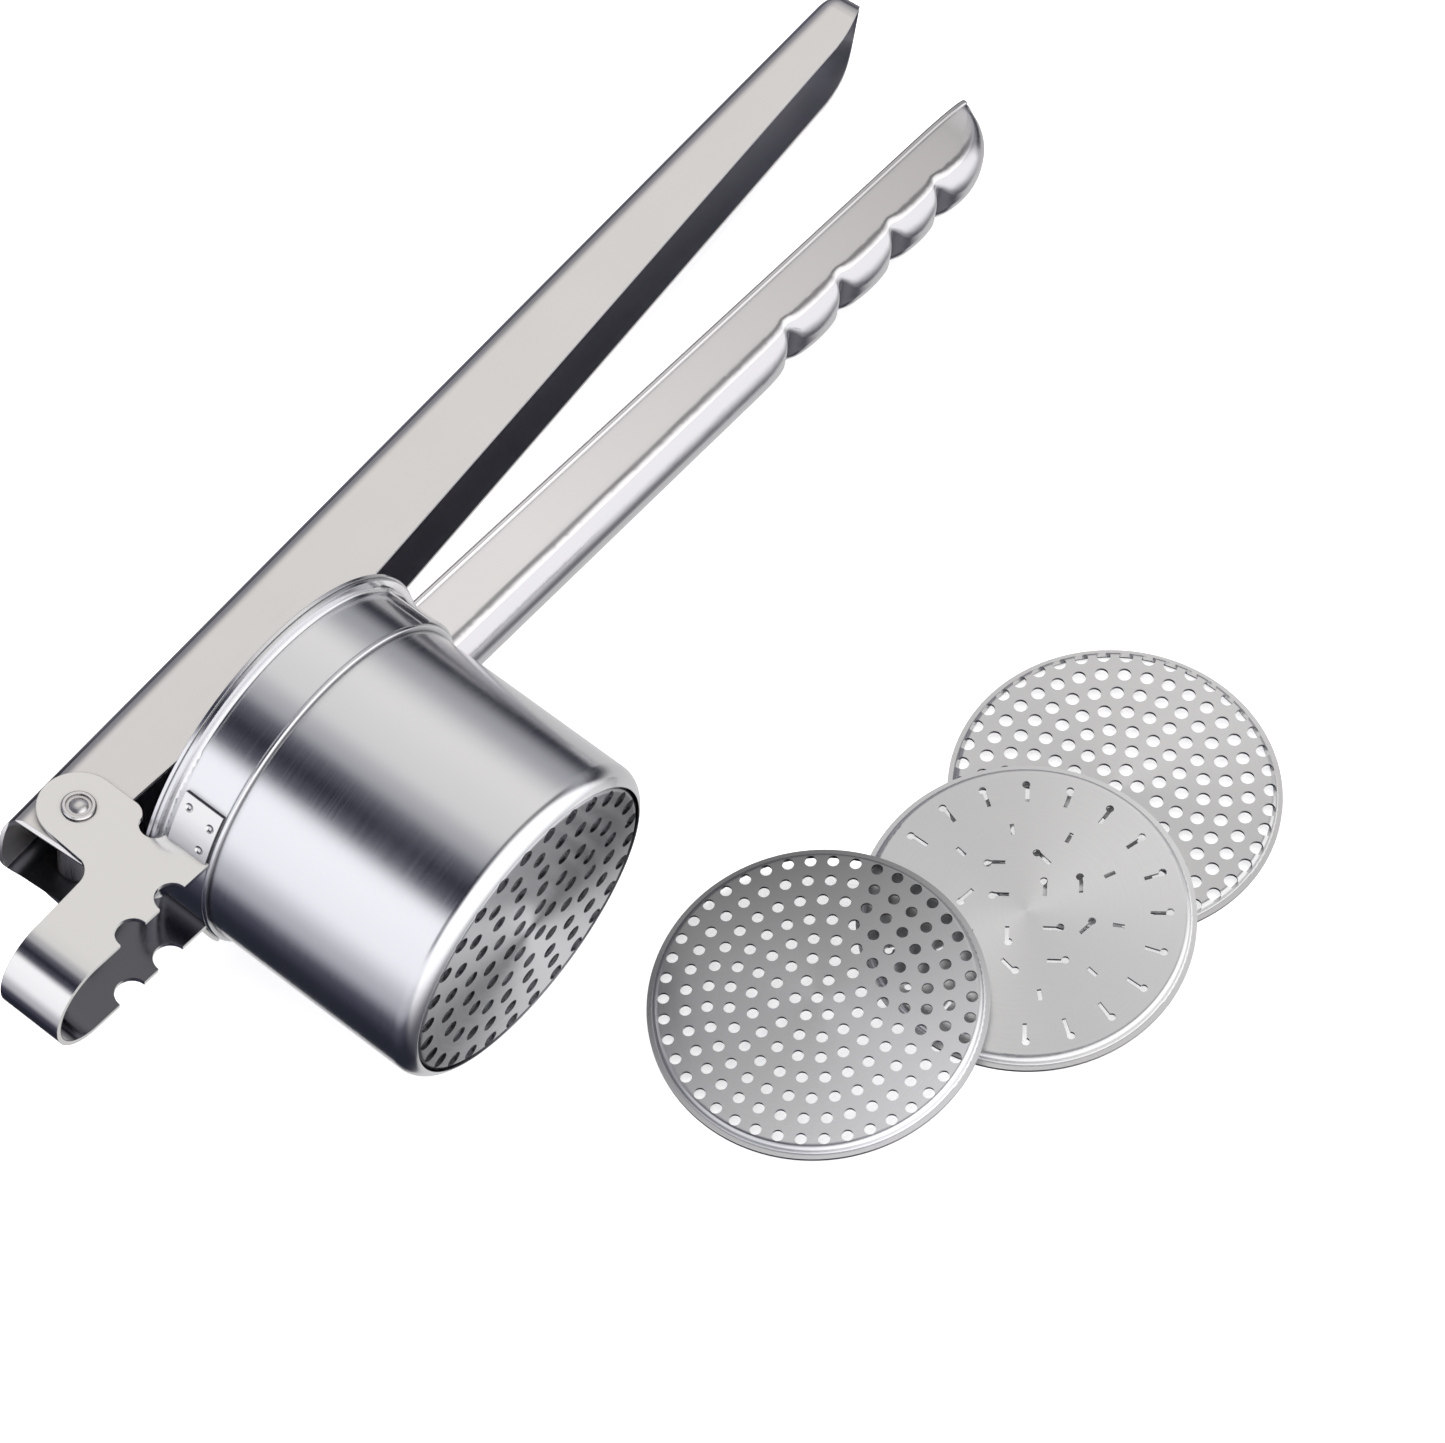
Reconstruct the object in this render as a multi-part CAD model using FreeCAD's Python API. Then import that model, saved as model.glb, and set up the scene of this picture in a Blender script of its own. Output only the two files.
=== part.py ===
"""Potato ricer with a fitted perforated disc and three loose interchangeable discs.

The ricer is drawn in its own working frame: the cup's axis is Z, the mouth's rim plane is z = 0,
the handles run along +X and the lever's pivot axis is parallel to Y.  lay_down() then turns every
ricer part into the table frame: the ricer lies on its side, resting on its rim, on the cup's foot
and on the edge of the lever.  The table frame has +Z up, z = 0 on the table, and its origin
on the table in the middle of the whole set's box.  Millimetres throughout.
"""
import FreeCAD
import Part
import math
import os

V = FreeCAD.Vector
SKIN = 0.02                      # gap between sheets that are pressed or welded together

# cup and the band round its mouth
CUP_R = 42.0
CUP_T = 0.8
CUP_CORNER = 5.0                 # outer radius of the bend from wall to foot
CUP_STRAIGHT = 70.0              # wall length from the rim plane to the start of that bend
MOUTH_BEND = 1.6
FOOT_OPENING_R = 38.6
RIM_R = 46.6
BAND_T = 1.0
BAND_R = CUP_R + SKIN + BAND_T
BAND_FLANGE_R = 46.1
BAND_BEND = 2.2
BAND_BOTTOM = -16.4
BAND_BEAD = 0.4

# perforated discs: pressed dishes with a turned-down skirt and a narrow flange
DISC_FACE_R = 38.3
DISC_FLANGE_R = 39.8
DISC_H = 2.95
DISC_T = 0.8
SHOULDER_R = 1.5
FLANGE_BEND = 0.4

# pivot of the lever
PIVOT_X = -49.6
PIVOT_Z = 15.7
PIVOT_SHAFT_R = 3.0
RUNNING_GAP = 0.08

# lever: channel of bent sheet, open towards the cup, with a rounded nose
LEVER_T = 1.0
LEVER_HALF = 11.2
LEVER_TILT_DEG = 4.1             # web above the rim plane
LEVER_WEB = 11.9                 # outer face of the web above the pivot, across the web
LEVER_BEND = 4.8
LEVER_HEEL = -9.7                # flange ends behind the pivot
LEVER_HEEL_BULGE = 4.0
LEVER_NOSE = 330.0
LEVER_NOSE_DROP = 6.0            # height of the wall at the very tip of the nose

# plunger and the pin that it hangs from
PIN_X = -6.0
PIN_Z = 0.0
PIN_R = 2.5
EAR_R = 6.5
PLUNGER_R = 35.0
PLUNGER_X = -4.0
PLUNGER_BOTTOM = -69.0
PLUNGER_T = 1.2
PLUNGER_WALL = 5.0
PLUNGER_BEND = 2.4
PLUNGER_RIVET_R = 2.0
PLUNGER_RIVET_X = 9.0            # either side of the plunger's middle
BRACKET_T = 1.2
BRACKET_HALF = 9.8
BRACKET_BEND = 2.5
BRACKET_FOOT = 32.0

# pot-rest bracket: one strip, two cheeks joined by a half-round bend
STRAP_T = 1.3
STRAP_GAP = 0.3                  # between a cheek and the lever's flange
STRAP_BEND_X = -77.5
STRAP_TOP = 1.0
STRAP_BOTTOM = -15.7
BOSS_R = 9.45
NOTCH_R = 4.0
NOTCHES_X = (-53.6, -66.2)
TAB_ANGLE = 146.0
TAB_SWEEP = 18.0
TAB_TOP = -4.2
TAB_BOTTOM = -15.1
WELDS = ((149.8, -6.6), (151.5, -13.2), (160.0, -12.6))   # angle in degrees and height

# fixed handle
HANDLE_T = 1.2
HANDLE_HALF = 8.5
HANDLE_TOP = 0.4                 # at the collar
HANDLE_RISE = 0.0123             # height gained per millimetre of length
HANDLE_DEPTH = 19.0              # at the collar
HANDLE_TAPER = 0.0105            # depth lost per millimetre of length
HANDLE_BEND = 7.6
HANDLE_START = 36.0
NOSE_START = 247.0
NOSE_POWER = 2.25
NOSE_HALF = 5.8
HANDLE_END = 269.4
GROOVES_X = (176.2, 198.3, 220.8, 240.8)
GROOVE_DEPTH = 4.0
GROOVE_WIDTH = 2.4
SHOULDER_WIDTH = 6.5
GROOVE_SHARPNESS = 0.55          # share of the corner radius lost at the bottom of a groove
HEM_R = 0.9
FOOT_PLATE_DEG = 42.0            # half the angle that the foot plate spans
PLATE_TOP = -3.1                 # of the foot plate, under the rim

REST_POINT = (269.53, 11.13, 39.48)   # on the lever's edge, touches the table
MIDDLE_X = 93.5                  # middle of the whole set, from the point below the mouth's centre
MIDDLE_Y = -67.05

# loose discs on the table: centre x, centre y, rise in degrees, direction of the rise
LOOSE_DISCS = {
    "coarse_disc": (36.8, -76.5, 0.0, 0.0),
    "spaetzle_disc": (-4.3, -80.7, 3.0, 6.0),
    "fine_disc": (-52.4, -56.7, 4.3, -26.5),
}


def wire(place, start, *steps):
    """Closed wire through points that place() puts in space.

    A step is (a, b) for a line to that point, or (mid, end) for an arc.
    """
    here, edges = place(*start), []
    for step in steps:
        if isinstance(step[0], tuple):
            mid, end = place(*step[0]), place(*step[1])
            edges.append(Part.Arc(here, mid, end).toShape())
        else:
            end = place(*step)
            edges.append(Part.makeLine(here, end))
        here = end
    if (here - place(*start)).Length > 1e-6:
        edges.append(Part.makeLine(here, place(*start)))
    return Part.Wire(edges)


def path(start, *steps):
    """Closed face in the XZ plane."""
    return Part.Face(wire(lambda x, z: V(x, 0, z), start, *steps))


def arc_point(cx, cz, r, deg):
    """Point on a circle, with the angle counted from +X towards +Z."""
    return (cx + r * math.cos(math.radians(deg)), cz + r * math.sin(math.radians(deg)))


def lathe(face):
    return face.revolve(V(0, 0, 0), V(0, 0, 1), 360)


def across(face, half):
    """Prism of an XZ face, reaching half either side of the middle plane."""
    return face.translated(V(0, -half, 0)).extrude(V(0, 2 * half, 0))


def pin(x, z, radius, y_low, y_high):
    return Part.makeCylinder(radius, y_high - y_low, V(x, y_low, z), V(0, 1, 0))


def sector(radius, inner, bottom, top, start_deg, sweep_deg):
    """Part of a ring about the cup's axis, from start_deg over sweep_deg."""
    face = path((inner, bottom), (radius, bottom), (radius, top), (inner, top))
    ring = face.revolve(V(0, 0, 0), V(0, 0, 1), sweep_deg)
    ring.rotate(V(0, 0, 0), V(0, 0, 1), start_deg)
    return ring


def mirrored(shape):
    return shape.mirror(V(0, 0, 0), V(0, 1, 0))


# ---------------------------------------------------------------- cup and band

def foot_arc(radius):
    """Height at which the foot's bend of this radius meets the opening."""
    reach = FOOT_OPENING_R - (CUP_R - CUP_CORNER)
    return -CUP_STRAIGHT - math.sqrt(radius ** 2 - reach ** 2)


def cup():
    """Drawn cup: rim flange, straight wall and a foot bent in to the opening."""
    inner = CUP_R - CUP_T
    bend_x, foot_x = inner + MOUTH_BEND, CUP_R - CUP_CORNER
    foot_inner = CUP_CORNER - CUP_T
    return lathe(path(
        (RIM_R, 0), (RIM_R, -CUP_T), (bend_x, -CUP_T),
        (arc_point(bend_x, -MOUTH_BEND, MOUTH_BEND - CUP_T, 135), (CUP_R, -MOUTH_BEND)),
        (CUP_R, -CUP_STRAIGHT),
        (arc_point(foot_x, -CUP_STRAIGHT, CUP_CORNER, -35), (FOOT_OPENING_R, foot_arc(CUP_CORNER))),
        (FOOT_OPENING_R, foot_arc(foot_inner)),
        (arc_point(foot_x, -CUP_STRAIGHT, foot_inner, -35), (inner, -CUP_STRAIGHT)),
        (inner, -MOUTH_BEND),
        (arc_point(bend_x, -MOUTH_BEND, MOUTH_BEND, 135), (bend_x, 0))))


def collar_band():
    """Band that hugs the top of the cup, with a flange under the cup's rim and a beaded edge."""
    inner = CUP_R + SKIN
    flange_top = -CUP_T - SKIN
    bend_x, bend_z = inner + BAND_BEND, flange_top - BAND_BEND
    tight = BAND_BEND - BAND_T
    bead_mid = BAND_BOTTOM + 0.6
    return lathe(path(
        (BAND_FLANGE_R, flange_top), (BAND_FLANGE_R, flange_top - BAND_T), (bend_x, flange_top - BAND_T),
        (arc_point(bend_x, bend_z, tight, 135), (BAND_R, bend_z)),
        (BAND_R, BAND_BOTTOM + 1.2),
        ((BAND_R + BAND_BEAD, bead_mid), (BAND_R, BAND_BOTTOM)),
        (inner, BAND_BOTTOM), (inner, bend_z),
        (arc_point(bend_x, bend_z, BAND_BEND, 135), (bend_x, flange_top))))


# ---------------------------------------------------------------- fixed handle

def channel_section(x, half, top, bottom, bend):
    """Wire across X: straight sides, round lower corners, flat top."""
    low, far = bottom + bend, half - bend
    right = arc_point(far, low, bend, -45)
    return wire(lambda y, z: V(x, y, z), (-half, top), (-half, low),
                ((-right[0], right[1]), (-far, bottom)), (far, bottom), (right, (half, low)), (half, top))


def groove_shape(x):
    """0 on a finger lobe, 1 at the bottom of a groove: a narrow valley between rounded shoulders."""
    total = 0.0
    for groove_x in GROOVES_X:
        away = x - groove_x
        total += 0.65 * math.exp(-(away / GROOVE_WIDTH) ** 2) + 0.35 * math.exp(-(away / SHOULDER_WIDTH) ** 2)
    return min(1.0, total)


def handle_size(x):
    """Half width, depth and corner radius of the handle's outside at x."""
    reach = min(0.995, max(0.0, (x - NOSE_START) / (HANDLE_END - NOSE_START)))
    fullness = (1.0 - reach ** NOSE_POWER) ** (1.0 / NOSE_POWER)
    groove = groove_shape(x)
    depth = (HANDLE_DEPTH - HANDLE_TAPER * (x - HANDLE_START) - GROOVE_DEPTH * groove) * fullness
    half = NOSE_HALF + (HANDLE_HALF - NOSE_HALF) * fullness
    bend = HANDLE_BEND * (1.0 - GROOVE_SHARPNESS * groove)
    return half, depth, min(bend, half - 0.8, depth - 0.5)


def handle_section(x):
    """Sheet cut across at x: a U with beaded edges.  Past NOSE_START the inside closes early."""
    half, depth, bend = handle_size(x)
    inner_half, inner_depth, inner_bend = handle_size(x + HANDLE_T * (x > NOSE_START))
    inner_half, inner_depth = max(0.8, inner_half - HANDLE_T), max(0.4, inner_depth - HANDLE_T)
    inner_bend = max(0.15, min(inner_bend - HANDLE_T, inner_half - 0.4, inner_depth - 0.2))
    hem = min(HEM_R, 0.2 * depth)
    top = HANDLE_TOP + HANDLE_RISE * (x - HANDLE_START)
    low, far = top - depth + bend, half - bend
    inner_low, inner_far = top - inner_depth + inner_bend, inner_half - inner_bend
    corner, inner_corner = arc_point(far, low, bend, -45), arc_point(inner_far, inner_low, inner_bend, -45)
    return wire(
        lambda y, z: V(x, y, z),
        (-inner_half, top), (-half, top),
        ((-half - hem, top - hem), (-half, top - 2 * hem)), (-half, low),
        ((-corner[0], corner[1]), (-far, top - depth)), (far, top - depth),
        (corner, (half, low)), (half, top - 2 * hem),
        ((half + hem, top - hem), (half, top)),
        (inner_half, top), (inner_half, inner_low),
        (inner_corner, (inner_far, top - inner_depth)), (-inner_far, top - inner_depth),
        ((-inner_corner[0], inner_corner[1]), (-inner_half, inner_low)))


def handle_stations():
    """Places along the handle at which its section is set: close together on the grip."""
    plain = [HANDLE_START + 7.0 * i for i in range(18)]
    grip = [163 + 1.8 * i for i in range(51)]
    nose = [255, 257, 259, 261, 262.8, 264.4, 265.8, 267, 268, 268.7, 269.2]
    return plain + grip + nose


def round_band(shape):
    """Takes away what would run into the cup, its rim, the band and the foot plate."""
    plate = BAND_R + 2 * SKIN + HANDLE_T
    steps = ((BAND_R + BAND_BEAD + 0.1, -40.0, TAB_BOTTOM - SKIN),
             (plate, TAB_BOTTOM - SKIN, PLATE_TOP),
             (RIM_R + 0.2, PLATE_TOP, 8.0))
    for radius, low, high in steps:
        shape = shape.cut(Part.makeCylinder(radius, high - low, V(0, 0, low)))
    return shape


def fixed_handle():
    shell = Part.makeLoft([handle_section(x) for x in handle_stations()], True, False)
    if shell.Volume < 0:
        shell.reverse()
    return round_band(shell)


def handle_foot():
    """Curved plate under the handle's root, spot-welded to the band."""
    inner = BAND_R + SKIN
    plate = sector(inner + HANDLE_T, inner, TAB_BOTTOM, PLATE_TOP - SKIN,
                   -FOOT_PLATE_DEG, 2 * FOOT_PLATE_DEG)
    upright = [e for e in plate.Edges if e.BoundBox.ZLength > 5 and e.Length > 5 and e.BoundBox.XLength < 0.1]
    outer = [e for e in upright if math.hypot(e.CenterOfMass.x, e.CenterOfMass.y) > inner + 1]
    return plate.makeFillet(0.5, outer)


# ---------------------------------------------------------------- pot-rest bracket

def strap_outline():
    """Side view of the bracket: boss, neck, strip and the room cut out for rim and pot."""
    boss = path(arc_point(PIVOT_X, PIVOT_Z, BOSS_R, 0),
                (arc_point(PIVOT_X, PIVOT_Z, BOSS_R, 90), arc_point(PIVOT_X, PIVOT_Z, BOSS_R, 180)),
                (PIVOT_X - BOSS_R - 0.6, 5.5), ((-61.2, 3.2), (-64.0, 2.0)), (STRAP_BEND_X, STRAP_TOP),
                (-110.0, STRAP_TOP), (-110.0, STRAP_BOTTOM), (-36.0, STRAP_BOTTOM), (-36.0, -3.4),
                (-42.0, -3.4), ((-45.4, 0.0), (-42.2, 3.6)), ((-40.9, 4.8), (-40.15, 7.5)))
    prism = across(boss, 20)
    for x in NOTCHES_X:
        prism = prism.cut(pin(x, STRAP_BOTTOM, NOTCH_R, -20, 20))
    return prism


def strap_plan(inset):
    """Upright prism of the strip seen from the mouth: two straight runs and the bend."""
    half = LEVER_HALF + STRAP_GAP + STRAP_T - inset
    block = Part.makeBox(-30.0 - STRAP_BEND_X, 2 * half, 80, V(STRAP_BEND_X, -half, -40))
    return block.fuse(Part.makeCylinder(half, 80, V(STRAP_BEND_X, 0, -40)))


def weld_tab():
    """Flap bent off the near cheek on to the band, with three dimples left by spot welds."""
    inner = BAND_R + SKIN
    dimple = inner + STRAP_T + 0.75
    tab = sector(inner + STRAP_T, inner, TAB_BOTTOM, TAB_TOP, -TAB_ANGLE - TAB_SWEEP, TAB_SWEEP)
    for angle, z in WELDS:
        x, y = math.cos(math.radians(angle)), -math.sin(math.radians(angle))
        tab = tab.cut(Part.makeSphere(1.3, V(x * dimple, y * dimple, z)))
    return tab


def pot_rest_bracket():
    strip = strap_plan(0).cut(strap_plan(STRAP_T)).common(strap_outline())
    strip = strip.cut(Part.makeCylinder(BAND_R + SKIN, 40, V(0, 0, -40)))
    strip = strip.cut(Part.makeCylinder(BAND_R + BAND_BEAD + 0.05, 25, V(0, 0, -40)))
    strip = strip.cut(pin(PIVOT_X, PIVOT_Z, PIVOT_SHAFT_R + SKIN, -20, 20))
    tab = weld_tab()
    return strip.fuse([tab, mirrored(tab)]).removeSplitter()


def pivot_rivet():
    """Shaft through both cheeks, with a ringed head and a domed middle on each side."""
    outside = LEVER_HALF + STRAP_GAP + STRAP_T + SKIN
    shaft = pin(PIVOT_X, PIVOT_Z, PIVOT_SHAFT_R, -outside, outside)
    ring = pin(PIVOT_X, PIVOT_Z, 3.95, outside, outside + 0.8)
    ring = ring.makeChamfer(0.3, [e for e in ring.Edges if e.BoundBox.YMin > outside + 0.7])
    ring = ring.cut(pin(PIVOT_X, PIVOT_Z, 3.0, outside + 0.35, outside + 2))
    dome = Part.makeSphere(3.6, V(PIVOT_X, outside - 2.5, PIVOT_Z))
    dome = dome.common(pin(PIVOT_X, PIVOT_Z, 2.4, outside, outside + 3))
    head = ring.fuse(dome)
    return shaft.fuse([head, mirrored(head)]).removeSplitter()


# ---------------------------------------------------------------- lever

def in_lever_frame(shape):
    """From the lever's own frame, with its origin on the pivot and X along the web."""
    shape = shape.copy()
    shape.rotate(V(0, 0, 0), V(0, 1, 0), -LEVER_TILT_DEG)
    shape.translate(V(PIVOT_X, 0, PIVOT_Z))
    return shape


def lever_plan(inset, heel):
    """Plan view of the lever: bulged heel, straight sides, half-round nose."""
    half = LEVER_HALF - inset
    nose = LEVER_NOSE - LEVER_HALF
    bulge = LEVER_HEEL_BULGE if inset == 0 else 0.0
    corners = [V(heel, -half, 0), V(nose, -half, 0), V(nose + half, 0, 0), V(nose, half, 0), V(heel, half, 0)]
    edges = [Part.makeLine(corners[0], corners[1]), Part.Arc(*corners[1:4]).toShape(),
             Part.makeLine(corners[3], corners[4])]
    if bulge:
        edges.append(Part.Arc(corners[4], V(heel - bulge, 0, 0), corners[0]).toShape())
    else:
        edges.append(Part.makeLine(corners[4], corners[0]))
    return Part.Face(Part.Wire(edges))


def lever_blank(inset, heel):
    """Prism of the plan with the web's long edges rounded."""
    top = LEVER_WEB - inset
    prism = lever_plan(inset, heel).translated(V(0, 0, -60)).extrude(V(0, 0, 60 + top))
    rounded = [e for e in prism.Edges if e.BoundBox.ZMin > top - 0.01 and e.CenterOfMass.x > heel + 20]
    return prism.makeFillet(LEVER_BEND - inset, rounded)


def lever_side():
    """Side view of the lever's flanges, with the ears that carry the plunger's pin."""
    tip_z = LEVER_WEB - LEVER_NOSE_DROP
    flange = path((-30.0, 20.0), (-30.0, -11.3), (LEVER_HEEL + 1.5, -11.3), (8.0, -7.3), (75.0, -12.3),
                  (304.0, -1.5), ((321.0, 1.2), (332.0, tip_z)), (340.0, 20.0))
    drop_x, drop_z = pin_in_lever_frame()
    ear = path((drop_x - 20.0, 0.0), (drop_x - 15.0, -9.0), (drop_x - 6.0, drop_z - 2.4),
               (drop_x + 5.0, drop_z - 4.0), (drop_x + 22.0, -9.0), (drop_x + 22.0, 0.0))
    return across(flange, 20).fuse([across(ear, 20), pin(drop_x, drop_z, EAR_R, -20, 20)])


def pin_in_lever_frame():
    tilt = math.radians(LEVER_TILT_DEG)
    dx, dz = PIN_X - PIVOT_X, PIN_Z - PIVOT_Z
    return dx * math.cos(tilt) + dz * math.sin(tilt), dz * math.cos(tilt) - dx * math.sin(tilt)


def lever_channel():
    outside = lever_blank(0.0, LEVER_HEEL).common(lever_side())
    shell = in_lever_frame(outside.cut(lever_blank(LEVER_T, LEVER_HEEL - 20.0)))
    shell = shell.cut(pin(PIVOT_X, PIVOT_Z, PIVOT_SHAFT_R + RUNNING_GAP, -20, 20))
    return shell.cut(pin(PIN_X, PIN_Z, PIN_R + SKIN, -20, 20))


def pivot_sleeve():
    """Spacer that keeps the lever's flanges apart on the pivot rivet."""
    half = LEVER_HALF - LEVER_T - SKIN
    sleeve = pin(PIVOT_X, PIVOT_Z, 4.8, -half, half)
    return sleeve.cut(pin(PIVOT_X, PIVOT_Z, PIVOT_SHAFT_R + RUNNING_GAP, -20, 20))


def plunger_pin():
    """Pin across the lever's ears, headed on both sides."""
    half = LEVER_HALF + SKIN
    shaft = pin(PIN_X, PIN_Z, PIN_R, -half, half)
    head = pin(PIN_X, PIN_Z, 4.2, half, half + 0.9)
    head = head.makeFillet(0.5, [e for e in head.Edges if e.BoundBox.YMin > half + 0.8])
    return shaft.fuse([head, mirrored(head)]).removeSplitter()


# ---------------------------------------------------------------- plunger

def plunger_plate():
    """Shallow dish that presses the food: flat face, upturned wall."""
    low, top = PLUNGER_BOTTOM, PLUNGER_BOTTOM + PLUNGER_WALL
    inner_bend = PLUNGER_BEND - PLUNGER_T
    corner_x, corner_z, inner = PLUNGER_R - PLUNGER_BEND, low + PLUNGER_BEND, PLUNGER_R - PLUNGER_T
    dish = lathe(path(
        (0, low), (corner_x, low),
        (arc_point(corner_x, corner_z, PLUNGER_BEND, -45), (PLUNGER_R, corner_z)),
        (PLUNGER_R, top), (inner, top), (inner, corner_z),
        (arc_point(corner_x, corner_z, inner_bend, -45), (corner_x, low + PLUNGER_T)),
        (0, low + PLUNGER_T)))
    dish.translate(V(PLUNGER_X, 0, 0))
    for x in rivets_x():
        dish = dish.cut(Part.makeCylinder(PLUNGER_RIVET_R + SKIN, 10, V(x, 0, low - 5)))
    return dish


def rivets_x():
    return (PLUNGER_X - PLUNGER_RIVET_X, PLUNGER_X + PLUNGER_RIVET_X)


def plunger_bracket():
    """U of strip that hangs from the pin and carries the plate."""
    low = PLUNGER_BOTTOM + PLUNGER_T + SKIN
    start = PLUNGER_X - BRACKET_FOOT / 2
    outer = Part.Face(channel_section(start - 10, BRACKET_HALF, 20, low, BRACKET_BEND)).extrude(V(60, 0, 0))
    inner = Part.Face(channel_section(start - 20, BRACKET_HALF - BRACKET_T, 30, low + BRACKET_T,
                                      BRACKET_BEND - BRACKET_T))
    side = path((start, low), (start + BRACKET_FOOT, low), (start + BRACKET_FOOT, low + 8),
                (PIN_X + 7.0, PIN_Z), (PIN_X - 7.0, PIN_Z), (start, low + 8))
    side = across(side, 20).fuse(pin(PIN_X, PIN_Z, 7.0, -20, 20))
    shape = outer.cut(inner.extrude(V(100, 0, 0))).common(side)
    shape = shape.cut(pin(PIN_X, PIN_Z, PIN_R + RUNNING_GAP, -20, 20))
    for x in rivets_x():
        shape = shape.cut(Part.makeCylinder(PLUNGER_RIVET_R + SKIN, 10, V(x, 0, low - 5)))
    return shape


def plunger_bush():
    """Spacer on the pin between the bracket's cheeks."""
    half = BRACKET_HALF - BRACKET_T - SKIN
    bush = pin(PIN_X, PIN_Z, 4.2, -half, half)
    return bush.cut(pin(PIN_X, PIN_Z, PIN_R + RUNNING_GAP, -20, 20))


def plunger_rivets():
    """Two rivets that hold the bracket on the plate, flush below and domed above."""
    low = PLUNGER_BOTTOM
    top = low + PLUNGER_T + BRACKET_T + 2 * SKIN
    rivets = []
    for x in rivets_x():
        shaft = Part.makeCylinder(PLUNGER_RIVET_R, top - low, V(x, 0, low))
        dome = Part.makeSphere(4.6, V(x, 0, top - 3.0)).common(Part.makeCylinder(3.5, 3, V(x, 0, top)))
        rivets.append(shaft.fuse(dome).removeSplitter())
    return Part.makeCompound(rivets)


# ---------------------------------------------------------------- perforated discs

def blank_disc():
    """Dish lying face up: flange at z = 0, skirt, rounded shoulder, flat face."""
    top, shoulder_x = DISC_H, DISC_FACE_R - SHOULDER_R
    shoulder_z, inner = DISC_H - SHOULDER_R, DISC_FACE_R - DISC_T
    bend_x, bend_z = DISC_FACE_R + FLANGE_BEND, DISC_T + FLANGE_BEND
    return lathe(path(
        (0, top), (shoulder_x, top),
        (arc_point(shoulder_x, shoulder_z, SHOULDER_R, 45), (DISC_FACE_R, shoulder_z)),
        (DISC_FACE_R, bend_z),
        (arc_point(bend_x, bend_z, FLANGE_BEND, 225), (bend_x, DISC_T)),
        (DISC_FLANGE_R, DISC_T), (DISC_FLANGE_R, 0), (bend_x, 0),
        (arc_point(bend_x, bend_z, FLANGE_BEND + DISC_T, 225), (inner, bend_z)),
        (inner, shoulder_z),
        (arc_point(shoulder_x, shoulder_z, SHOULDER_R - DISC_T, 45), (shoulder_x, top - DISC_T)),
        (0, top - DISC_T)))


def drill(x, y, radius):
    return Part.makeCylinder(radius, 3 * DISC_T, V(x, y, DISC_H - 2 * DISC_T))


def ring_of_holes(spacing, rings, hole_r, per_ring):
    """Round holes in evenly spaced rings about one in the middle; per_ring gives their number."""
    holes = [drill(0, 0, hole_r)]
    for k in range(1, rings + 1):
        count = per_ring(k)
        for i in range(count):
            x, y = arc_point(0, 0, k * spacing, 360.0 * i / count + 7.0 * k)
            holes.append(drill(x, y, hole_r))
    return holes


def slot(radius, angle, length, width, turn, keyhole):
    """Narrow cut about a point at radius and angle, turned from the radial line by turn."""
    low, height = DISC_H - 2 * DISC_T, 3 * DISC_T
    shape = Part.makeBox(length, width, height, V(-length / 2, -width / 2, low))
    if keyhole:
        shape = shape.fuse(Part.makeCylinder(width, height, V(length / 2, width / 3, low)))
    shape.rotate(V(0, 0, 0), V(0, 0, 1), turn)
    shape.translate(V(radius, 0, 0))
    shape.rotate(V(0, 0, 0), V(0, 0, 1), angle)
    return shape


def spaetzle_cuts():
    """Slots in four rings: long radial keyholes outside, short and slanted ones inside."""
    cuts = [slot(31.2, 18.0 * i, 4.6, 0.95, 0.0, True) for i in range(20)]
    cuts += [slot(21.8, 36.0 * i + 9.0, 2.8, 1.0, 0.0, False) for i in range(10)]
    cuts += [slot(14.6, 45.0 * i + 20.0, 4.2, 0.95, 60.0, True) for i in range(8)]
    cuts += [slot(7.4, 90.0 * i, 4.0, 0.95, 35.0, True) for i in range(4)]
    return cuts


def perforated(cutters):
    return blank_disc().cut(Part.makeCompound(cutters))


def disc_shapes():
    return {
        "fitted_disc": perforated(ring_of_holes(7.1, 5, 2.05, lambda k: round(5.65 * k))),
        "fine_disc": perforated(ring_of_holes(5.1, 7, 1.4, lambda k: 6 * k)),
        "coarse_disc": perforated(ring_of_holes(5.25, 7, 1.7, lambda k: 6 * k)),
        "spaetzle_disc": perforated(spaetzle_cuts()),
    }


def seat_in_cup(disc):
    """Turns the disc face down on to the bend of the cup's foot."""
    disc = disc.copy()
    disc.rotate(V(0, 0, 0), V(1, 0, 0), 180)
    disc.translate(V(0, 0, foot_arc(CUP_CORNER) + DISC_H + 0.05))
    return disc


def set_on_table(disc, x, y, rise_deg, towards_deg):
    """Lays a disc on the table, raised on the side that lies on its neighbour."""
    disc = disc.copy()
    rad = math.radians(towards_deg)
    disc.rotate(V(0, 0, 0), V(-math.sin(rad), math.cos(rad), 0), -rise_deg)
    disc.translate(V(x, y, DISC_FLANGE_R * math.sin(math.radians(rise_deg))))
    return disc


# ---------------------------------------------------------------- table frame

def resting_angles():
    """Lean of the pivot axis and pitch of the cup when the ricer lies on its side."""
    pitch = math.atan2(RIM_R - CUP_R, CUP_STRAIGHT)
    tip_x, tip_y, tip_z = REST_POINT
    reach = math.hypot(tip_x, tip_y)
    lean = math.asin((RIM_R + tip_z * math.tan(pitch)) / reach) - math.atan2(tip_y, tip_x)
    return lean, pitch


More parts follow.
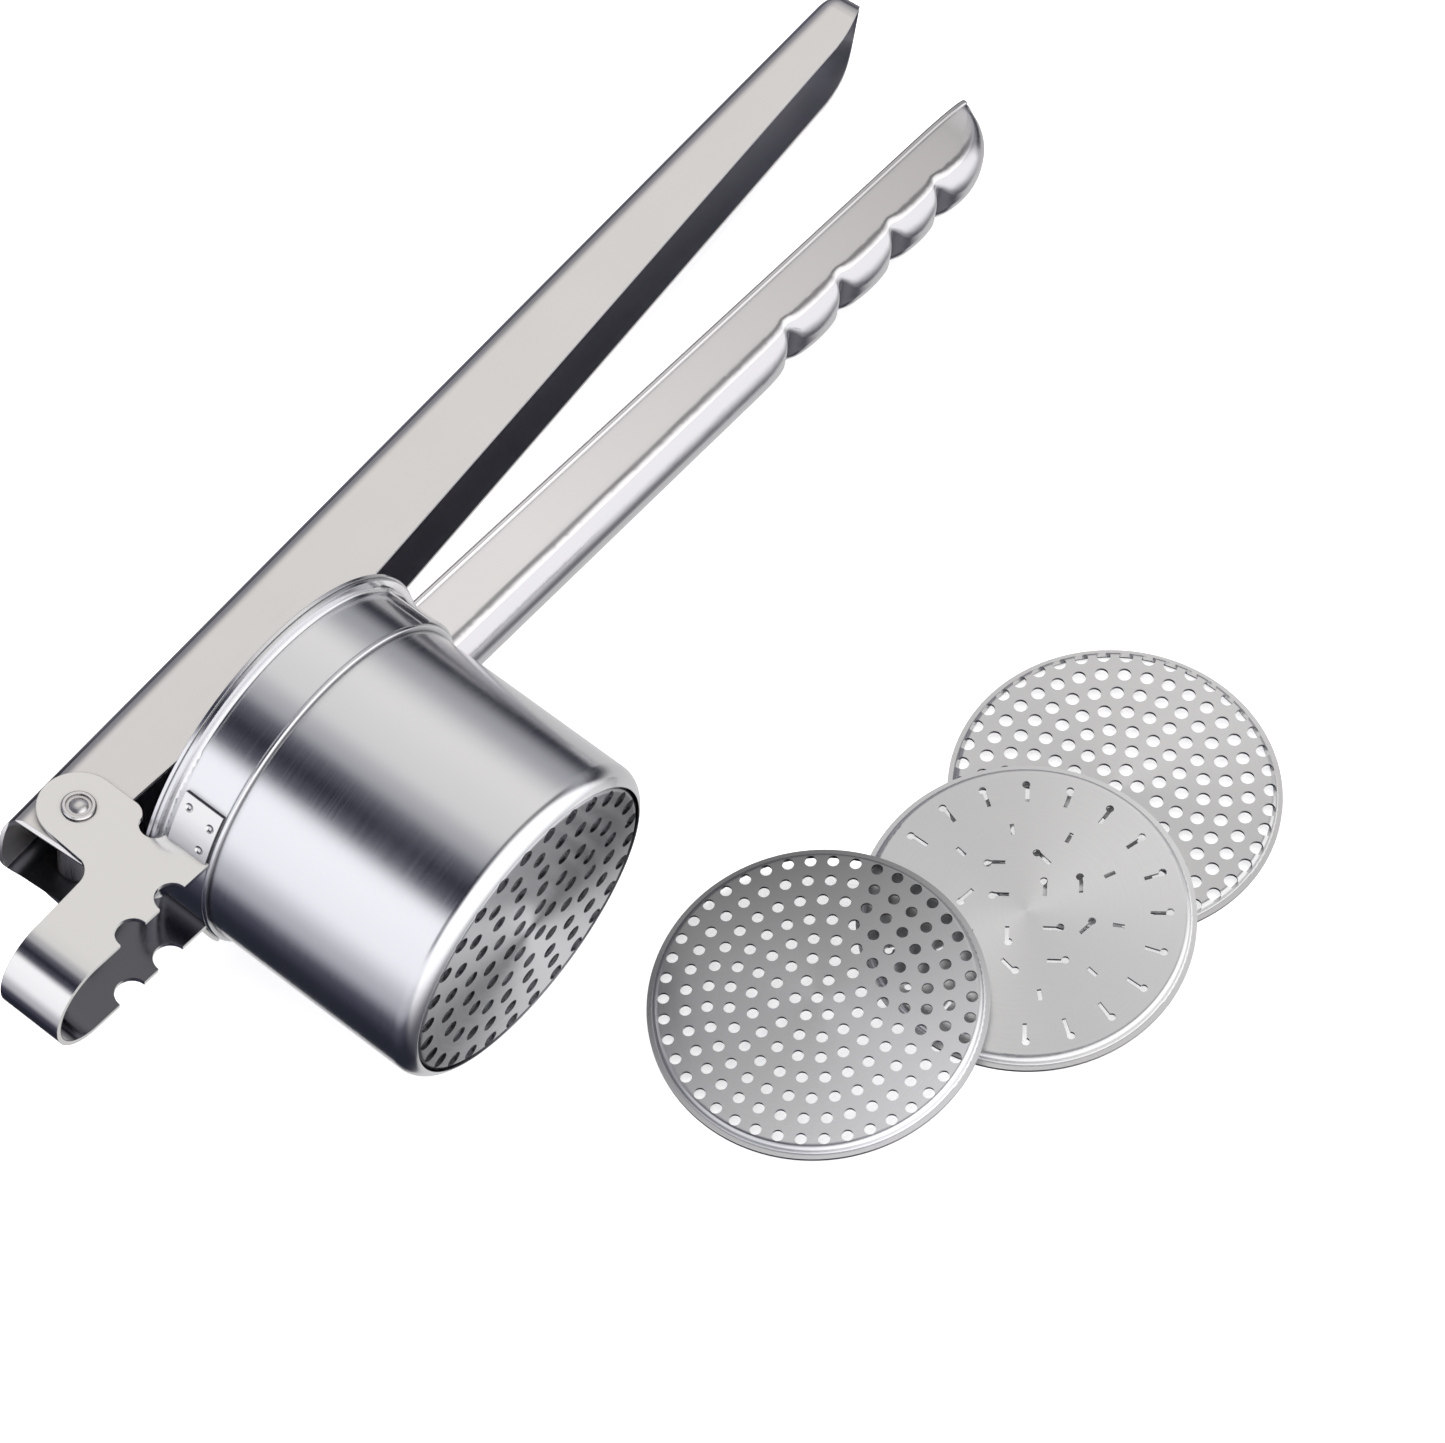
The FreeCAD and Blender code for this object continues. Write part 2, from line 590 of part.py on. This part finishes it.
def lay_down(shape):
    lean, pitch = resting_angles()
    shape = shape.copy()
    origin = V(0, 0, 0)
    shape.rotate(origin, V(1, 0, 0), -90)
    shape.rotate(origin, V(0, 1, 0), math.degrees(lean))
    shape.rotate(origin, V(1, 0, 0), math.degrees(pitch))
    shape.translate(V(-MIDDLE_X, -MIDDLE_Y, RIM_R * math.cos(pitch)))
    return shape


def main():
    os.makedirs("parts", exist_ok=True)
    discs = disc_shapes()
    ricer = {
        "cup": cup(), "collar_band": collar_band(), "handle_foot": handle_foot(),
        "fixed_handle": fixed_handle(), "pot_rest_bracket": pot_rest_bracket(),
        "pivot_rivet": pivot_rivet(), "lever_channel": lever_channel(), "pivot_sleeve": pivot_sleeve(),
        "plunger_pin": plunger_pin(), "plunger_plate": plunger_plate(),
        "plunger_bracket": plunger_bracket(), "plunger_bush": plunger_bush(),
        "plunger_rivets": plunger_rivets(), "fitted_disc": seat_in_cup(discs["fitted_disc"]),
    }
    nodes = {name: lay_down(shape) for name, shape in ricer.items()}
    for name, place in LOOSE_DISCS.items():
        nodes[name] = set_on_table(discs[name], *place)
    for name, shape in nodes.items():
        box = shape.BoundBox
        print(f"{name:18s} solids {len(shape.Solids)} valid {shape.isValid()} volume {shape.Volume:9.1f} "
              f"x {box.XMin:7.1f} {box.XMax:7.1f} y {box.YMin:7.1f} {box.YMax:7.1f} "
              f"z {box.ZMin:6.2f} {box.ZMax:6.1f}")
        shape.exportStep(f"parts/{name}.step")


main()
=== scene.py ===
"""Potato ricer: surface finish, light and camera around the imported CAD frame.

Everything is in metres in the table frame.  The ricer's own frame has its cup axis along Z, the
handles along +X and the lever's pivot along Y; RICER_TO_TABLE turns it into the table frame.
"""
import math

import bpy
from mathutils import Matrix, Vector


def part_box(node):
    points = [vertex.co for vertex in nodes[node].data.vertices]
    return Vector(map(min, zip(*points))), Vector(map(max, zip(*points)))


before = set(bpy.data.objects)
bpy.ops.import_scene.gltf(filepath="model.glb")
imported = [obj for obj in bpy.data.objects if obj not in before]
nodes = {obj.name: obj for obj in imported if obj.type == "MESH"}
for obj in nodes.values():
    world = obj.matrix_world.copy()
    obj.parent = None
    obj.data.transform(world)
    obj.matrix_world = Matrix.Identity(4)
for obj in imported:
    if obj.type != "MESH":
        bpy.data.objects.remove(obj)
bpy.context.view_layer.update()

# the ricer lies on its rim, its foot and the edge of its lever
PITCH = math.radians(3.75975)
LEAN = math.radians(8.14284)
RIM_RADIUS = 0.0466
DISC_RADIUS = 0.040
MOUTH_PLACE = Vector((-0.0935, 0.06705, RIM_RADIUS * math.cos(PITCH)))
RICER_TO_TABLE = (
    Matrix.Translation(MOUTH_PLACE)
    @ Matrix.Rotation(PITCH, 4, "X") @ Matrix.Rotation(LEAN, 4, "Y") @ Matrix.Rotation(-math.pi / 2, 4, "X")
)
TABLE_TO_RICER = RICER_TO_TABLE.inverted()

# structure that all the steel has: scales of its noise, and how much the noise changes
GRAIN_ALONG = 30.0
GRAIN_ACROSS = 2600.0
DISC_GRAIN_ACROSS = 1500.0
CLOUD_SCALE = 38.0
PIT_SCALE = 900.0
PIT_SHARE = 0.4
GLOSS_BY_GRAIN = 0.14
GLOSS_BY_CLOUDS = 0.10
RELIEF_DEPTH = 0.00004
EDGE_ROUNDING = 0.00022
# painted seam shade: the steel's colour darkens where other surfaces are near, where shade falls
SEAM_SHADE_CLOSED = 0.35               # share of open surroundings at which a seam is darkest
SEAM_SHADE_OPEN = 0.85
SEAM_SHADE_LEVEL = 0.25


# ---------------------------------------------------------------- node helpers

class Graph:
    """Thin wrapper that adds nodes to one node tree."""

    def __init__(self, tree):
        self.tree = tree

    def add(self, kind, inputs=None, **settings):
        node = self.tree.nodes.new(kind)
        for key, value in settings.items():
            setattr(node, key, value)
        for key, value in (inputs or {}).items():
            if isinstance(value, bpy.types.NodeSocket):
                self.tree.links.new(value, node.inputs[key])
            else:
                node.inputs[key].default_value = value
        return node

    def math(self, operation, a, b=0.0, clamp=False):
        node = self.add("ShaderNodeMath", {0: a, 1: b}, operation=operation, use_clamp=clamp)
        return node.outputs[0]

    def xyz(self, vector):
        """The three parts of a vector."""
        return self.add("ShaderNodeSeparateXYZ", {"Vector": vector}).outputs

    def ranged(self, value, start, end, low=0.0, high=1.0, **settings):
        """low to high as a value goes from start to end."""
        node = self.add("ShaderNodeMapRange", {
            "Value": value, "From Min": start, "From Max": end, "To Min": low, "To Max": high}, **settings)
        return node.outputs["Result"]

    def mixed(self, factor, under, over):
        node = self.add("ShaderNodeMix", {0: factor, 6: under, 7: over}, data_type="RGBA")
        return node.outputs[2]

    def centred(self, noise, share):
        """Noise of 0 to 1, moved to lie about 0 and scaled to share."""
        return self.math("MULTIPLY", self.math("SUBTRACT", noise, 0.5), share)

    def dimmed(self, level, mask, share):
        """A level that loses its share where the mask is 1."""
        return self.math("MULTIPLY", level, self.math("SUBTRACT", 1.0, self.math("MULTIPLY", mask, share)))

    def ramp(self, factor, stops):
        node = self.add("ShaderNodeValToRGB", {"Fac": factor})
        ramp = node.color_ramp
        ramp.interpolation = "EASE"
        while len(ramp.elements) < len(stops):
            ramp.elements.new(0.5)
        for element, (position, value) in zip(ramp.elements, stops):
            element.position = position
            colour = value if isinstance(value, tuple) else (value, value, value)
            element.color = (*colour, 1.0)
        return node.outputs["Color"]


def local_point(g, to_local):
    """Surface point in a part's own frame."""
    place = g.add("ShaderNodeTexCoord").outputs["Object"]
    turn = to_local.to_euler("XYZ")
    mapping = g.add("ShaderNodeMapping", {"Vector": place, "Location": to_local.to_translation(),
                                          "Rotation": tuple(turn)}, vector_type="POINT")
    return mapping.outputs["Vector"]


def grain_vector(g, point, grain, fine):
    """Coordinates that change fast across the brushing and slowly along it."""
    if grain == "ring":
        parts = g.xyz(point)
        x, y, z = (parts[axis] for axis in "XYZ")
        radius = g.math("SQRT", g.math("ADD", g.math("MULTIPLY", x, x), g.math("MULTIPLY", y, y)))
        angle = g.math("ARCTAN2", y, x)
        return g.add("ShaderNodeCombineXYZ", {
            "X": g.math("MULTIPLY", g.math("SINE", angle), 2.0),
            "Y": g.math("MULTIPLY", g.math("COSINE", angle), 2.0),
            "Z": g.math("MULTIPLY", g.math("ADD", radius, z), fine)}).outputs[0]
    scale = (GRAIN_ALONG, fine, fine)
    return g.add("ShaderNodeMapping", {"Vector": point, "Scale": scale}).outputs["Vector"]


def painted_inside_shade(g, point, half, web, tilt, bend_x):
    """1 on the inside of a channel, which gets painted shade: within half of its middle and below web.

    Towards -X the channel may close in a half-round bend about bend_x.
    """
    turned = g.add("ShaderNodeMapping", {"Vector": point, "Rotation": (0.0, tilt, 0.0)}).outputs["Vector"]
    parts = g.xyz(turned)
    past = g.math("MINIMUM", g.math("SUBTRACT", parts["X"], bend_x), 0.0)
    across = parts["Y"]
    away = g.math("SQRT", g.math("ADD", g.math("MULTIPLY", past, past), g.math("MULTIPLY", across, across)))
    within = g.math("LESS_THAN", away, half)
    under = g.math("LESS_THAN", parts["Z"], web)
    return g.math("MULTIPLY", within, under)


def painted_side_shade(g, point, direction, share):
    """Painted shade: brightness that fades over a disc from one side to the other."""
    parts = g.xyz(point)
    along = g.math("ADD", g.math("MULTIPLY", parts["X"], math.cos(direction)),
                   g.math("MULTIPLY", parts["Y"], math.sin(direction)))
    return g.math("ADD", g.math("MULTIPLY", along, share / DISC_RADIUS), 1.0)


def painted_sheen_fans(g, point, direction, share):
    """Painted sheen of a turned disc: two bright fans, opposite each other."""
    parts = g.xyz(point)
    angle = g.math("ARCTAN2", parts["Y"], parts["X"])
    fan = g.math("COSINE", g.math("MULTIPLY", g.math("SUBTRACT", angle, direction), 2.0))
    return g.math("ADD", g.math("MULTIPLY", fan, share), 1.0)


def painted_seam_shade(g, reach):
    """Painted seam shade: less than 1 where other surfaces are nearer than reach."""
    open_share = g.add("ShaderNodeAmbientOcclusion", {"Distance": reach}, samples=6).outputs["AO"]
    return g.ranged(open_share, SEAM_SHADE_CLOSED, SEAM_SHADE_OPEN, low=SEAM_SHADE_LEVEL)


def painted_far_shade(g, point, start_x, end_x, from_y, to_y):
    """Painted shade: 1 on a channel's flanges at end_x, fading out towards start_x and towards its middle.
    """
    parts = g.xyz(point)
    along = g.ranged(parts["X"], start_x, end_x)
    return g.math("MULTIPLY", along, g.ranged(g.math("ABSOLUTE", parts["Y"]), from_y, to_y))


def steel(name, colour, rough, grain="x", fine=GRAIN_ACROSS, streak=0.06, mottle=0.05, bump=0.15,
          to_local=TABLE_TO_RICER, anisotropic=0.0, tangent_axis=None, edge=EDGE_ROUNDING, seam_shade_reach=0.0,
          inside_shade=None, inside_shade_ramp=None, far_shade=None, sweep=None, sheen_fans=None):
    """Brushed or pressed stainless steel.

    grain is x for straight brushing along X, or ring for turning about Z; streak and mottle are how
    much the brushing and the clouds change the colour; seam_shade_reach is the reach of the painted
    shade in seams; inside_shade = (half width, web height, tilt, bend centre, shade_tint) marks the
    inside of a channel for painted shade, and inside_shade_ramp = (start x, end x, share) deepens
    that painted shade along X; far_shade = (start x, end x, share, from y, to y) darkens a flange
    towards its far end with painted shade; sweep = (direction, share) lets one side of a disc be
    darker with painted shade, and sheen_fans = (direction, share) gives it the painted sheen fans of
    a turned surface.
    """
    material = bpy.data.materials.new(name)
    material.use_nodes = True
    tree = material.node_tree
    tree.nodes.clear()
    g = Graph(tree)
    point = local_point(g, to_local)
    lines = g.add("ShaderNodeTexNoise", {"Vector": grain_vector(g, point, grain, fine), "Scale": 1.0,
                                         "Detail": 3.0, "Roughness": 0.6}).outputs["Fac"]
    clouds = g.add("ShaderNodeTexNoise", {"Vector": point, "Scale": CLOUD_SCALE, "Detail": 4.0,
                                          "Roughness": 0.55}).outputs["Fac"]
    pits = g.add("ShaderNodeTexNoise", {"Vector": point, "Scale": PIT_SCALE, "Detail": 2.0}).outputs["Fac"]

    level = g.math("ADD", g.math("ADD", g.centred(lines, streak), g.centred(clouds, mottle)), 1.0)
    # painted shade darkens one side of a disc
    if sweep:
        level = g.math("MULTIPLY", level, painted_side_shade(g, point, *sweep))
    # painted sheen: two bright fans across a disc
    if sheen_fans:
        level = g.math("MULTIPLY", level, painted_sheen_fans(g, point, *sheen_fans))
    # painted shade darkens the colour in seams and between parts
    if seam_shade_reach:
        level = g.math("MULTIPLY", level, painted_seam_shade(g, seam_shade_reach))
    # painted shade darkens the flanges towards the far end
    if far_shade:
        start_x, end_x, share, from_y, to_y = far_shade
        level = g.dimmed(level, painted_far_shade(g, point, start_x, end_x, from_y, to_y), share)
    # painted shade: the inside of a channel is darkened by a tint, and may deepen along X
    if inside_shade:
        half, web, tilt, bend_x, shade_tint = inside_shade
        mask = painted_inside_shade(g, point, half, web, tilt, bend_x)
        shaded_inside_colour = tuple(a * b for a, b in zip(colour, shade_tint))
        colour = g.mixed(mask, (*colour, 1.0), (*shaded_inside_colour, 1.0))
        # painted shade that deepens along X inside the channel
        if inside_shade_ramp:
            start_x, end_x, share = inside_shade_ramp
            deeper_inside_shade = g.math("MULTIPLY", mask, g.ranged(g.xyz(point)["X"], start_x, end_x))
            level = g.dimmed(level, deeper_inside_shade, share)
    shaded = g.add("ShaderNodeVectorMath", {0: colour, "Scale": level}, operation="SCALE")

    gloss_change = g.math("ADD", g.centred(lines, GLOSS_BY_GRAIN), g.centred(clouds, GLOSS_BY_CLOUDS))
    gloss = g.math("ADD", rough, gloss_change, clamp=True)
    height = g.math("ADD", lines, g.math("MULTIPLY", pits, PIT_SHARE))
    relief = g.add("ShaderNodeBump", {"Height": height, "Strength": bump, "Distance": RELIEF_DEPTH})
    if edge:
        soft_edge = g.add("ShaderNodeBevel", {"Radius": edge}, samples=4)
        tree.links.new(soft_edge.outputs["Normal"], relief.inputs["Normal"])
    shader = g.add("ShaderNodeBsdfPrincipled", {
        "Base Color": shaded.outputs["Vector"], "Metallic": 1.0, "Roughness": gloss,
        "Normal": relief.outputs["Normal"], "Anisotropic": anisotropic})
    if tangent_axis:
        tangent = g.add("ShaderNodeTangent", direction_type="RADIAL", axis=tangent_axis)
        tree.links.new(tangent.outputs["Tangent"], shader.inputs["Tangent"])
    g.add("ShaderNodeOutputMaterial", {"Surface": shader.outputs["BSDF"]})
    return material


def finish_node(name, material):
    mesh = nodes[name].data
    mesh.materials.clear()
    mesh.materials.append(material)


# ---------------------------------------------------------------- finishes of the ricer

LEVER_TILT = math.radians(4.1)
NO_BEND = -1.0                   # far past the end of any channel
# painted shade inside the lever, handle and bracket channels: half width, web height, tilt, bend centre and
# darkening tint
LEVER_INSIDE_SHADE = (0.0104, 0.0300, LEVER_TILT, NO_BEND, (0.40, 0.41, 0.47))
# painted shade deepening inside the lever's heel
LEVER_HEEL_SHADE = (-0.030, -0.045, 0.70)
HANDLE_INSIDE_SHADE = (0.0074, 0.02, 0.0, NO_BEND, (0.75, 0.75, 0.77))
# painted shade on the handle's flanges towards its far end
HANDLE_FAR_SHADE = (0.08, 0.27, 0.40, 0.0076, 0.0083)
BRACKET_INSIDE_SHADE = (0.0117, 0.05, 0.0, -0.0775, (0.15, 0.15, 0.17))
# painted sheen fans on the fitted disc's face
FACE_SHEEN_FANS = (math.radians(72), 0.48)


def finish_ricer():
    lever_steel = steel("lever_matte", (0.86, 0.84, 0.825), 0.34, streak=0.05, mottle=0.04, bump=0.08,
                        seam_shade_reach=0.002, inside_shade=LEVER_INSIDE_SHADE, inside_shade_ramp=LEVER_HEEL_SHADE)
    handle_steel = steel("handle_satin", (0.86, 0.845, 0.85), 0.18, streak=0.05, mottle=0.04, bump=0.03,
                         seam_shade_reach=0.002, inside_shade=HANDLE_INSIDE_SHADE, far_shade=HANDLE_FAR_SHADE)
    strap_steel = steel("strap_satin", (0.82, 0.81, 0.80), 0.13, streak=0.025, mottle=0.04, bump=0.03,
                        seam_shade_reach=0.002, inside_shade=BRACKET_INSIDE_SHADE)
    cup_steel = steel("cup_polished", (0.80, 0.80, 0.82), 0.17, "ring", streak=0.05, mottle=0.04,
                      anisotropic=0.3, tangent_axis="Y", seam_shade_reach=0.002)
    band_steel = steel("band_polished", (0.80, 0.80, 0.82), 0.16, "ring", streak=0.05, mottle=0.04,
                       seam_shade_reach=0.002)
    rivet_steel = steel("rivet_steel", (0.80, 0.78, 0.78), 0.28, "ring", streak=0.03, mottle=0.04,
                        seam_shade_reach=0.0015)
    plunger_steel = steel("plunger_steel", (0.74, 0.74, 0.75), 0.28, "ring", streak=0.05)
    face_steel = steel("face_steel", (0.54, 0.54, 0.56), 0.22, "ring", fine=DISC_GRAIN_ACROSS,
                       anisotropic=0.9, tangent_axis="Y", edge=0.0, sheen_fans=FACE_SHEEN_FANS)
    finish_node("lever_channel", lever_steel)
    finish_node("fixed_handle", handle_steel)
    finish_node("handle_foot", handle_steel)
    finish_node("pot_rest_bracket", strap_steel)
    finish_node("cup", cup_steel)
    finish_node("collar_band", band_steel)
    finish_node("fitted_disc", face_steel)
    for rivet in ("pivot_rivet", "pivot_sleeve", "plunger_pin", "plunger_bush", "plunger_rivets"):
        finish_node(rivet, rivet_steel)
    for plunger_node in ("plunger_plate", "plunger_bracket"):
        finish_node(plunger_node, plunger_steel)
    # the bracket's inside, darkened with painted shade, would show as a smudge on the polished cup
    nodes["pot_rest_bracket"].visible_glossy = False


# ---------------------------------------------------------------- finishes of the loose discs

# colour, roughness, and the painted side shade and painted sheen fans of steel()
LOOSE_DISCS = {
    # the fine disc's colour, darker than the other discs' steel, is painted shade
    "fine_disc": ((0.56, 0.56, 0.57), 0.30, (math.radians(-115), 0.60), (math.radians(-80), 0.08)),
    "spaetzle_disc": ((0.84, 0.84, 0.84), 0.34, (math.radians(-60), 0.03), (math.radians(-30), 0.05)),
    "coarse_disc": ((0.78, 0.78, 0.78), 0.34, (math.radians(100), 0.03), (math.radians(0), 0.05)),
}


def finish_loose_discs():
    for node, (colour, rough, sweep, sheen_fans) in LOOSE_DISCS.items():
        low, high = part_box(node)
        middle = (Vector(low) + Vector(high)) / 2
        finish_node(node, steel(
            node + "_steel", colour, rough, "ring", fine=DISC_GRAIN_ACROSS, streak=0.12, mottle=0.10,
            to_local=Matrix.Translation(-middle), anisotropic=0.75, tangent_axis="Z", edge=0.0,
            sweep=sweep, sheen_fans=sheen_fans))


# ---------------------------------------------------------------- floor

FLOOR_SIZE = 12.0
FLOOR_GREY = 0.93
FLOOR_GLOW = 0.55                # keeps the table as white as a lit studio ground


def lay_floor():
    bpy.ops.mesh.primitive_plane_add(size=FLOOR_SIZE, location=(0.0, 0.0, 0.0))
    floor = bpy.context.object
    floor.name = "floor"
    material = bpy.data.materials.new("floor_white")
    material.use_nodes = True
    shader = material.node_tree.nodes["Principled BSDF"]
    shader.inputs["Base Color"].default_value = (FLOOR_GREY, FLOOR_GREY, FLOOR_GREY, 1.0)
    shader.inputs["Roughness"].default_value = 0.9
    shader.inputs["Specular IOR Level"].default_value = 0.1
    shader.inputs["Emission Color"].default_value = (1.0, 1.0, 1.0, 1.0)
    shader.inputs["Emission Strength"].default_value = FLOOR_GLOW
    floor.data.materials.append(material)
    floor.visible_glossy = False


# ---------------------------------------------------------------- light

COOL_DARK = (0.020, 0.022, 0.034)
# light and dark bands about the Y axis: 0 degrees is straight up, positive towards -X
BANDS = (
    (-180, 0.70), (-152, 0.70), (-118, 0.60), (-100, COOL_DARK), (-78, (0.40, 0.40, 0.43)),
    (-48, (0.87, 0.855, 0.84)), (-15, (0.80, 0.79, 0.78)), (3, (0.46, 0.46, 0.49)),
    (14, (0.10, 0.10, 0.13)), (25, COOL_DARK), (35, (0.08, 0.08, 0.11)),
    (50, (1.12, 1.12, 1.17)), (84, (1.06, 1.06, 1.11)), (112, (0.52, 0.52, 0.57)),
    (132, (0.06, 0.06, 0.09)), (150, COOL_DARK),
)
GAP_SHARE = 0.70
WALL_TOP = (1.32, 1.32, 1.33, 1.0)
WALL_FOOT = (0.10, 0.10, 0.12, 1.0)
BACK_WALL = (0.22, 0.22, 0.25, 1.0)


def towards(g, part, start, end):
    """0 to 1, smoothly, as one part of the direction goes from start to end."""
    return g.ranged(part, start, end, interpolation_type="SMOOTHSTEP")


def light_studio():
    """Surroundings that the steel mirrors: bands overhead, a gap, a front wall and a back wall."""
    world = bpy.data.worlds.new("studio")
    bpy.context.scene.world = world
    world.use_nodes = True
    world.node_tree.nodes.clear()
    g = Graph(world.node_tree)
    parts = g.xyz(g.add("ShaderNodeTexCoord").outputs["Generated"])
    angle = g.math("ARCTAN2", g.math("MULTIPLY", parts["X"], -1.0), parts["Z"])
    turn = g.math("ADD", g.math("DIVIDE", angle, 2 * math.pi), 0.5)
    colour = g.ramp(turn, [(0.5 + degrees / 360.0, value) for degrees, value in BANDS])

    # a dark gap, then a light wall in front of the cup's foot that fades towards the table, and a
    # dim wall behind the mouth
    gap = g.math("MULTIPLY", towards(g, parts["Y"], -0.02, -0.14), towards(g, parts["Y"], -0.40, -0.26))
    gap = g.math("MULTIPLY", gap, towards(g, parts["Z"], 0.20, 0.50))
    colour = g.mixed(g.math("MULTIPLY", gap, GAP_SHARE), colour, (*COOL_DARK, 1.0))
    wall = g.mixed(towards(g, parts["Z"], -0.05, -0.85), WALL_TOP, WALL_FOOT)
    colour = g.mixed(towards(g, parts["Y"], -0.30, -0.52), colour, wall)
    colour = g.mixed(towards(g, parts["Y"], 0.42, 0.80), colour, BACK_WALL)
    light = g.add("ShaderNodeBackground", {"Color": colour, "Strength": 1.0})
    g.add("ShaderNodeOutputWorld", {"Surface": light.outputs["Background"]})


BOX_PLACE = Vector((0.106, 0.467, 1.8))
BOX_TARGET = Vector((-0.044, 0.017, 0.0))
BOX_SIDE = 2.4
BOX_POWER = 38.0


def hang_soft_box():
    lamp = bpy.data.lights.new("top_box", "AREA")
    lamp.shape = "RECTANGLE"
    lamp.size = BOX_SIDE
    lamp.size_y = BOX_SIDE
    lamp.energy = BOX_POWER
    soft_box = bpy.data.objects.new("top_box", lamp)
    bpy.context.collection.objects.link(soft_box)
    soft_box.location = BOX_PLACE
    soft_box.rotation_euler = (BOX_TARGET - BOX_PLACE).to_track_quat("-Z", "Y").to_euler()
    soft_box.visible_glossy = False


# ---------------------------------------------------------------- camera

RIGHT = Vector((0.6239, -0.7811, -0.0265))
UP = Vector((0.6726, 0.5193, 0.5273))
BACK = Vector((-0.398, -0.3468, 0.8493))
CAMERA_PLACE = Vector((-0.4360, -0.3660, 0.9202))
SENSOR_MM = 36.0
LENS_MM = 112.1


def place_camera():
    camera_data = bpy.data.cameras.new("camera")
    camera_data.sensor_width = SENSOR_MM
    camera_data.lens = LENS_MM
    camera_data.clip_start = 0.01
    camera_data.clip_end = 50.0
    camera = bpy.data.objects.new("camera", camera_data)
    bpy.context.collection.objects.link(camera)
    turn = Matrix((RIGHT, UP, BACK)).transposed()
    camera.matrix_world = Matrix.Translation(CAMERA_PLACE) @ turn.to_4x4()
    bpy.context.scene.camera = camera
    bpy.context.scene.view_settings.view_transform = "Standard"


finish_ricer()
finish_loose_discs()
lay_floor()
light_studio()
hang_soft_box()
place_camera()
